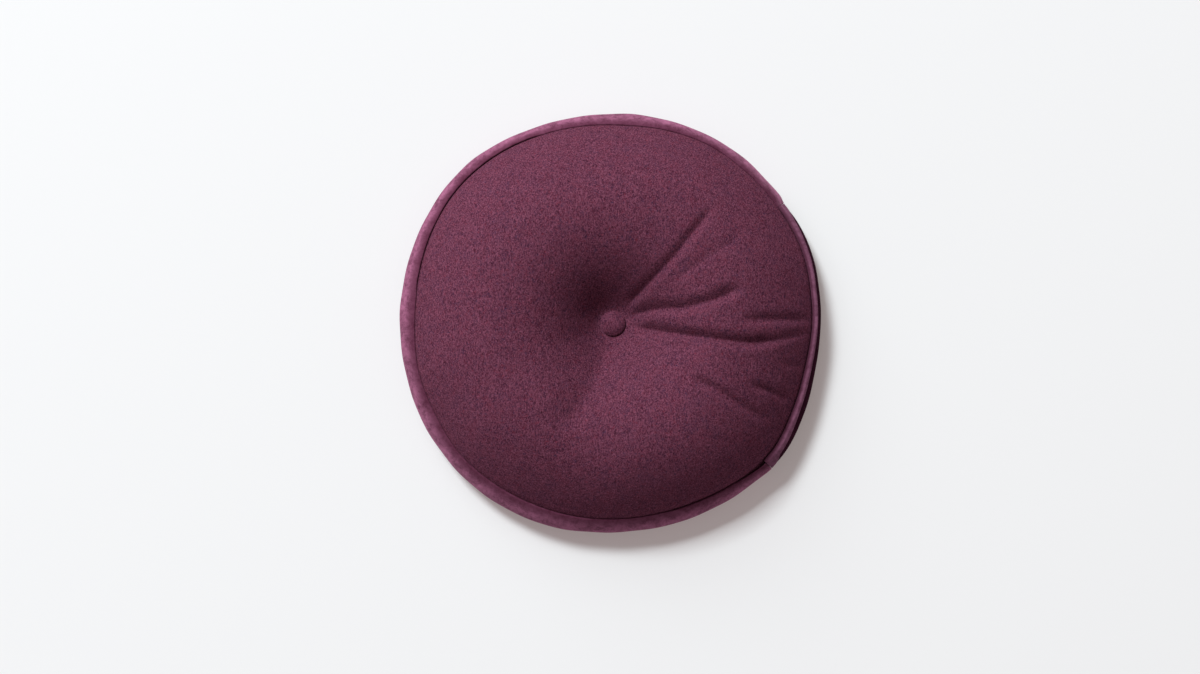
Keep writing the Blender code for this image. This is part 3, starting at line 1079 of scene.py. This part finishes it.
@dataclass
class VelvetStrip(ClothSheet):
    """A velvet strip of the side, between two angles, which stands for one solid."""

    name: str = "strip"
    node: str = "main_band"
    start: float = 0.0
    stop: float = 360.0
    column_step: float = 0.55
    rows: int = 42
    upper_edge: float = 0.020
    deep_edge: float = 0.030
    pucker_height: float = 0.0003
    pucker_start: float = 0.02
    pucker_reach: float = 0.07
    upper_waves: tuple[int, ...] = (53, 71, 89, 104)
    lower_waves: tuple[int, ...] = (47, 67, 91)
    slow_height: float = 0.0004
    slow_waves: tuple[int, ...] = (9, 14, 23, 31)
    notch_width: float = 1.5
    notch_depth: float = 0.0016
    end_round: float = 0.2
    end_columns: tuple[float, ...] = (0.0, 0.03, 0.09, 0.18, 0.30)
    least_end: float = 0.04
    # How far from the strip's edges the painted seam shade reaches, as a share of its width.
    painted_seam_shade: float = 0.25
    held: str = "stretched"

    def angles(self) -> Array:
        """Columns of the strip, close together at both ends, where its edge is rounded.

        Returns:
            The columns' angles, as a row.
        """
        middle = np.arange(self.start + 0.5, self.stop - 0.5, self.column_step)
        near = np.array(self.end_columns)
        return np.concatenate((self.start + near, middle, self.stop - near[::-1]))[None]

    def top(self, angle: Array) -> Array:
        """Place of the strip's upper edge on the side."""
        return self.upper_edge + self.deep_edge * sectors(DEEP_SEAM, angle, DEEP_FADE)

    def bottom(self, angle: Array) -> Array:
        """Place of the strip's lower edge on the side."""
        return np.ones_like(angle)

    def lift(self, angle: Array, t: Array) -> Array:
        """How far the strip's outer face stands out from the side."""
        return np.zeros_like(angle + t)

    def spacing(self) -> Array:
        """Places across the strip, closer together towards both of its edges."""
        even = np.linspace(0.0, 1.0, self.rows)
        return 0.5 * even + 0.25 * (1.0 - np.cos(np.pi * even))

    def relief(self, angle: Array, t: Array) -> Array:
        """Small forms of the velvet: puckers at the seams, a slow unevenness between them and
        a notch at the joint in the upper right.

        Args:
            angle: direction of each point.
            t: 0 at the top seam and 1 at the lower seam.

        Returns:
            The height at each point.
        """
        top, low = np.exp(-t / self.pucker_reach), np.exp(-(1.0 - t) / self.pucker_reach)
        pucker = ripple(angle, self.upper_waves, 11) * top * ease(t / self.pucker_start)
        pucker = pucker + ripple(angle, self.lower_waves, 12) * low
        slow = ripple(angle, self.slow_waves, 13) * np.sin(np.pi * t)
        _, high = self.shape.past_joints(angle)
        notch = np.exp(-((high / self.notch_width) ** 2)) * self.shape.inside_seams(t)
        raised = self.pucker_height * pucker + self.slow_height * slow
        return raised - self.notch_depth * notch

    def surface(self) -> Array:
        """The strip's surface, which thins to a round edge at both ends.

        Returns:
            Its points, one row for each place round its section.
        """
        angle = self.angles()
        places, offsets, reach = (part[:, None] for part in self.section(self.spacing()))
        top, bottom = self.top(angle), self.bottom(angle)
        t = top + (bottom - top) * places
        from_end = np.minimum(angle - self.start, self.stop - angle) / self.end_round
        fall = (1.0 - np.clip(from_end, 0.0, 1.0)) ** 2
        round_end = np.sqrt(np.clip(1.0 - fall, self.least_end, 1.0))
        spread = (offsets + 0.5) * self.thickness * round_end
        offset = self.lift(angle, t) + self.relief(angle, t) - 0.5 * self.thickness + spread
        points = self.shape.side(angle, t, offset)
        return self.shift_down(points, angle, t, reach * self.thickness * round_end)

    def shift_down(self, points: Array, angle: Array, t: Array, reach: Array) -> Array:
        """Move points along the side, downwards where the reach is positive.

        Args:
            points: the points, which are changed.
            angle: direction of each point.
            t: 0 at the top seam and 1 at the lower seam.
            reach: how far each point is moved.

        Returns:
            The moved points.
        """
        out, up = self.shape.side_normal(angle, t)
        turn = np.radians(angle)
        points[..., 0] += up * reach * np.cos(turn)
        points[..., 1] += up * reach * np.sin(turn)
        points[..., 2] -= out * reach
        return points

    def flat_size(self, points: Array) -> tuple[float, float]:
        """Flat size of the strip, whose width is half the way round its section.

        Args:
            points: the strip's points, one row for each place round its section.

        Returns:
            The width and the length.
        """
        ring = np.concatenate((points, points[:1]))
        width = 0.5 * np.linalg.norm(np.diff(ring, axis=0), axis=-1).sum(axis=0).mean()
        length = np.linalg.norm(np.diff(points[: self.rows], axis=1), axis=-1).sum(axis=1).mean()
        return float(width), float(length)

    def pile(self, columns: int) -> Array:
        """How little painted shade each point takes: 0 at a seam, where the colour is painted darkest, 1
        away from it.
        """
        place = self.section(self.spacing())[0][:, None] + np.zeros(columns)
        return ease(place / self.painted_seam_shade) * ease((1.0 - place) / self.painted_seam_shade)

    def build(self, material: bpy.types.Material) -> bpy.types.Object:
        """Args:
            material: its velvet.

        Returns:
            The strip.
        """
        points = self.surface()
        faces = self.grid_faces(points.shape[0], points.shape[1], Closed.ROWS)
        faces = self.cap(points, faces)
        piece = self.object_from(self.name, points, faces, material)
        # The attribute carries the painted seam shade.
        pile = piece.data.attributes.new(SEAM_SHADE_ATTRIBUTE, "FLOAT", "POINT")
        pile.data.foreach_set("value", self.pile(points.shape[1]).ravel())
        self.weld(piece)
        self.finish(piece, "velvet", self.node)
        return piece


@dataclass
class MainBand(VelvetStrip):
    """The side band, from one end of the placket round to the other."""

    name: str = "side_band"
    node: str = "main_band"
    wedge_stretch: float = 12.0
    wedge_width: float = 0.085

    def top(self, angle: Array) -> Array:
        """The band's upper edge, which leaves the seam in a wedge beside its lower end.

        Args:
            angle: where the edge is read.

        Returns:
            The edge's place on the side at each angle.
        """
        low, _ = self.shape.past_joints(angle)
        past = np.where(low < 0.0, -low / self.wedge_stretch, 1.0)
        return super().top(angle) + self.wedge_width * (1.0 - ease(past))

    def lift(self, angle: Array, t: Array) -> Array:
        """The lips at the band's ends."""
        return self.shape.band_lip(angle, t)


@dataclass
class PlacketFlap(VelvetStrip):
    """The folded flap, which leaves the top seam and lifts over the lower strip."""

    name: str = "flap"
    node: str = "placket_flap"
    rows: int = 22
    slow_height: float = 0.0002
    held: str = "folded"
    lift_height: float = 0.0028
    root: float = 0.075
    layer: float = 0.475
    # How far the painted seam shade reaches on the flap.
    painted_seam_shade: float = 0.30

    def section(self, along: Array) -> tuple[Array, Array, Array]:
        """Points once round the section of a cloth that is folded double: down the outer
        layer, round the fold, up the inner layer and back between the two.

        Args:
            along: rising places from 0 to 1 across the flap.

        Returns:
            Each point's place, offset and reach, as for a plain sheet.
        """
        places, offsets, reach = super().section(along)
        half = len(along) + self.edge_points
        gap = 1.0 - 2.0 * self.layer
        outer, far = offsets[:half], offsets[half:]
        inner = self.layer - 1.0
        back = np.concatenate((0.0 * along + inner, inner - gap * outer[len(along):]))
        near = np.concatenate((0.0 * along - self.layer, self.layer * far[len(along):]))
        root = np.concatenate((0.0 * along - 1.0, self.layer * (far[len(along):] + 1.0) - 1.0))
        turns = reach[half:] * self.layer
        between = reach[:half] * gap
        return (np.concatenate((places, places)), np.concatenate((outer, root, back, near)),
                np.concatenate((reach[:half], turns, between, turns)))

    def pile(self, columns: int) -> Array:
        """Painted shade at the top seam, fading to none towards the fold."""
        place = self.section(self.spacing())[0][:, None] + np.zeros(columns)
        return ease(place / self.painted_seam_shade)

    def bottom(self, angle: Array) -> Array:
        """The fold's place on the side."""
        rows = FLAP_EDGE
        return np.interp(folded(angle), [row.angle for row in rows], [row.edge for row in rows])

    def lift(self, angle: Array, t: Array) -> Array:
        """The flap lifts within its root and then keeps its height."""
        return self.lift_height * ease(t / self.root)


@dataclass
class PlacketStrip(VelvetStrip):
    """The lower strip, from under the flap to the lower seam."""

    name: str = "lower_strip"
    node: str = "placket_lower"
    slow_height: float = 0.0002
    upper_edge: float = 0.090
    deep_edge: float = 0.0


@dataclass
class BackPanel(ClothSheet):
    """The back felt panel, flat where the pillow lies, with pleats round its dimple."""

    thickness: float = 0.0022
    columns: int = 300
    rim_gap: float = 0.0006
    pleats: int = 11
    pleat_height: float = 0.0009
    pleat_start: float = 0.014
    pleat_rise: float = 0.010
    pleat_end: float = 0.026
    pleat_fall: float = 0.024

    def build(self, material: bpy.types.Material) -> bpy.types.Object:
        """Args:
            material: its felt.

        Returns:
            The panel.
        """
        angle = np.linspace(0.0, 360.0, self.columns, endpoint=False)[None]
        shape = self.shape
        dimple = np.linspace(0.0, shape.back_dimple, 26)
        flat = np.linspace(shape.back_dimple, shape.back_flat, 12)[1:]
        rim = np.linspace(shape.back_flat, shape.mean_seam - self.rim_gap, 20)[1:]
        radius = np.concatenate((dimple, flat, rim))[:, None]
        turn = np.cos(self.pleats * np.radians(angle) + 0.8 * np.sin(3.0 * np.radians(angle)))
        over = ease((radius - self.pleat_start) / self.pleat_rise)
        over = over * (1.0 - ease((radius - self.pleat_end) / self.pleat_fall))
        pleat = self.pleat_height * (1.0 + turn) * over
        outer = shape.back(angle + 0.0 * radius, radius + 0.0 * angle, pleat)
        inner = shape.back(angle + 0.0 * radius, radius + 0.0 * angle, self.thickness + pleat)
        points = np.concatenate((outer, inner[::-1]), axis=0)
        faces = self.grid_faces(points.shape[0], self.columns, Closed.COLUMNS)
        piece = self.object_from("felt_back", points, faces, material)
        self.weld(piece)
        self.finish(piece, "wool_felt", "back_panel")
        return piece


@dataclass
class CoveredButton(Piece):
    """A button form under a drawn piece of felt, its dome along +Z or -Z."""

    radius: float = 0.0118
    dome: float = 0.0058
    dome_power: float = 2.3
    edge: float = 0.0018
    roll_start: float = 0.15
    roll_in: float = 0.12
    gather: float = 0.012
    gather_waves: tuple[int, ...] = (13, 19, 27)
    seat_gap: float = 0.0004
    columns: int = 72

    def build(self, name: str, node: str, seat: Vector, facing: int, material: bpy.types.Material
              ) -> bpy.types.Object:
        """Build a button: a dome by a power of the radius, a rolled edge and a flat back.

        Args:
            name: the piece's name.
            node: the node that it stands for.
            seat: middle of the cloth that it is drawn down to.
            facing: 1 where the dome faces up, -1 where it faces down.
            material: its felt.

        Returns:
            The button.
        """
        angle = np.linspace(0.0, 360.0, self.columns, endpoint=False)[None]
        share = np.sin(np.linspace(0.0, 0.5 * np.pi, 18))[:, None]
        top = self.edge + (self.dome - self.edge) * (1.0 - share ** self.dome_power)
        roll = np.linspace(self.roll_start, 1.0, 8)[:, None] * 0.5 * np.pi
        gathers = 1.0 - self.gather * (1.0 + ripple(angle, self.gather_waves, 5)) * ease(roll / 1.2)
        cap = polar(angle, self.radius * share + 0.0 * angle, top + 0.0 * angle)
        rolled = self.radius * (1.0 - self.roll_in * (1.0 - np.cos(roll)))
        side = polar(angle, rolled * gathers, self.edge * (1.0 - np.sin(roll)) + 0.0 * angle)
        under = polar(angle, np.zeros_like(angle), np.zeros_like(angle))
        points = np.concatenate((cap, side, under), axis=0)
        points[..., 2] += self.seat_gap
        points[..., 2] *= facing
        points += np.array(seat)
        faces = self.grid_faces(points.shape[0], self.columns, Closed.COLUMNS)
        piece = self.object_from(name, points, faces, material)
        self.weld(piece)
        self.finish(piece, "wool_felt", node)
        return piece


@dataclass
class Studio:
    """Plain pale floor, soft lights and the camera over the pillow."""

    camera_height: float = 2.05
    camera_x: float = -0.0101
    camera_y: float = -0.0144
    focal: float = 63.3
    sensor: float = 36.0
    floor_size: float = 14.0
    floor_color: Color = (0.64, 0.675, 0.69)
    floor_glow: Color = (1.0, 0.84, 0.80)
    glow_strength: float = 0.19
    key_turn: float = 123.0
    key_rise: float = 48.5
    key_distance: float = 14.0
    key_size: float = 3.0
    key_power: float = 1890.0
    soft_rise: float = 35.0
    soft_distance: float = 8.0
    soft_size: float = 5.4
    soft_power: float = 250.0
    lamp_color: Color = (0.965, 1.0, 1.005)
    sky: Color = (1.0, 0.86, 0.86)
    sky_strength: float = 0.235

    def floor(self) -> None:
        """Lay the floor under the pillow."""
        half = 0.5 * self.floor_size
        mesh = bpy.data.meshes.new("floor")
        corners = [(-half, -half, 0.0), (half, -half, 0.0), (half, half, 0.0), (-half, half, 0.0)]
        mesh.from_pydata(corners, [], [(0, 1, 2, 3)])
        tree = ClothTree("floor_paint")
        mesh.materials.append(tree.dress(Base_Color=self.floor_color, Roughness=0.9,
                                         Specular_IOR_Level=0.0, Emission_Color=self.floor_glow,
                                         Emission_Strength=self.glow_strength))
        floor = bpy.data.objects.new("floor", mesh)
        bpy.context.scene.collection.objects.link(floor)

    def light(self, name: str, turn: float, rise: float, distance: float, size: float,
              power: float) -> None:
        """Hang a square light that looks at the pillow.

        Args:
            name: the light's name.
            turn: direction it stands in.
            rise: its elevation.
            distance: how far it stands from the pillow.
            size: its side.
            power: its power in watts.
        """
        data = bpy.data.lights.new(name, "AREA")
        data.size = size
        data.energy = power
        data.color = self.lamp_color
        lamp = bpy.data.objects.new(name, data)
        flat = distance * math.cos(math.radians(rise))
        lamp.location = (flat * math.cos(math.radians(turn)), flat * math.sin(math.radians(turn)),
                         distance * math.sin(math.radians(rise)))
        lamp.rotation_euler = (-lamp.location).to_track_quat("-Z", "Y").to_euler()
        bpy.context.scene.collection.objects.link(lamp)

    def camera(self) -> None:
        """Look straight down, with +Y up in the picture."""
        data = bpy.data.cameras.new("camera")
        data.lens = self.focal
        data.sensor_width = self.sensor
        camera = bpy.data.objects.new("camera", data)
        camera.location = (self.camera_x, self.camera_y, self.camera_height)
        bpy.context.scene.collection.objects.link(camera)
        bpy.context.scene.camera = camera

    def build(self) -> None:
        """Set up the floor, the lights, the sky and the camera."""
        self.floor()
        self.light("key", self.key_turn, self.key_rise, self.key_distance, self.key_size, self.key_power)
        self.light("soft", self.key_turn, self.soft_rise, self.soft_distance, self.soft_size,
                   self.soft_power)
        world = bpy.data.worlds.new("studio")
        world.use_nodes = True
        background = world.node_tree.nodes["Background"]
        background.inputs["Color"].default_value = (*self.sky, 1.0)
        background.inputs["Strength"].default_value = self.sky_strength
        bpy.context.scene.world = world
        bpy.context.scene.view_settings.view_transform = "Standard"
        self.camera()


def main() -> None:
    """Build the pillow's pieces in the order in which they are sewn, then the studio."""
    logging.basicConfig(level=logging.INFO, format="%(name)s: %(message)s")
    shape = PillowShape()
    felt = WoolFelt().material()
    # Paler felt for the buttons: painted light.
    painted_light_felt = ButtonFeltPaintedLight().material()
    low, high = shape.joint_low + shape.joint_gap, shape.joint_high - shape.joint_gap
    past_high = shape.joint_high + shape.joint_gap
    past_low = shape.joint_low - shape.joint_gap + 360.0

    FeltCushion(shape).build(felt)
    BackPanel(shape).build(felt)
    MainBand(shape, start=past_high, stop=past_low).build(Velvet().material())
    # Darker, greyer velvet for the flap: painted shade.
    PlacketFlap(shape, start=low, stop=high).build(VelvetFlapPaintedShade().material())
    # Nearly black velvet for the lower strip: painted shadow of the flap.
    PlacketStrip(shape, start=low, stop=high).build(VelvetPaintedShadow().material())
    button = CoveredButton(shape)
    button.build("button", "front_button", shape.seat, 1, painted_light_felt)
    button.build("rear_button", "back_button", Vector((0, 0, shape.back_seat)), -1, painted_light_felt)
    Studio().build()


if __name__ == "__main__":
    main()
